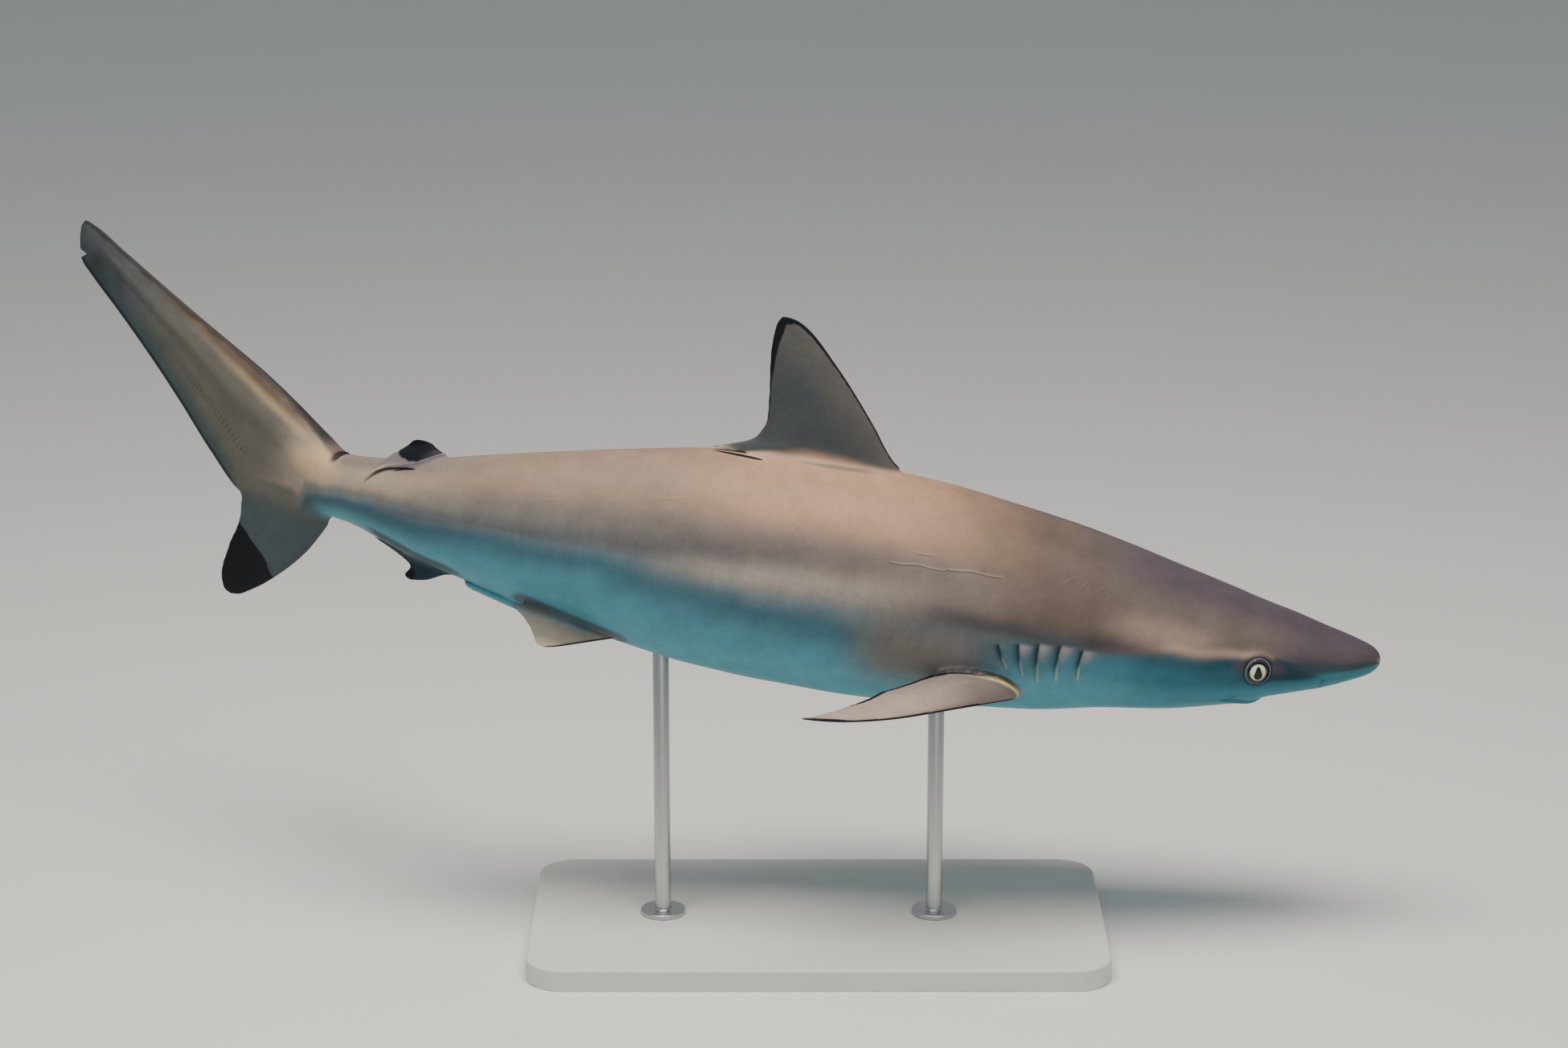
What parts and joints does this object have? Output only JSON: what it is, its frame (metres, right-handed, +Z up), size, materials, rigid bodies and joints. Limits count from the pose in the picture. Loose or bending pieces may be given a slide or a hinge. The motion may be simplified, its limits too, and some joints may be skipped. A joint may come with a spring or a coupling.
{
  "type": "blacktip shark display model",
  "caption": "Life-size still model of a black-tipped reef shark swimming with its tail swung aside, held by a flat base and two short rods.",
  "frame": {"origin": "middle of the stand base's underside", "axes": "+X towards the shark's snout, +Y towards its left side, +Z up"},
  "size_m": [1.0589, 0.404, 0.5337],
  "materials": {
    "skin": "satin",
    "dark_fin_skin": "satin",
    "eye": "gloss",
    "stand_paint": "satin",
    "rod_steel": "brushed"
  },
  "bodies": {
    "root": {"head": "skin", "trunk": "skin", "tail": "skin", "caudal_fin_upper": "skin", "caudal_fin_lower": "dark_fin_skin", "first_dorsal_fin": "skin", "second_dorsal_fin": "dark_fin_skin", "anal_fin": "skin", "pectoral_fin_right": "skin", "pectoral_fin_left": "skin", "pelvic_fin_right": "skin", "pelvic_fin_left": "skin", "clasper_right": "skin", "clasper_left": "skin", "eye_right": "eye", "eye_left": "eye", "stand_base": "stand_paint", "stand_rod_front": "rod_steel", "stand_rod_rear": "rod_steel"}
  },
  "joints": []
}
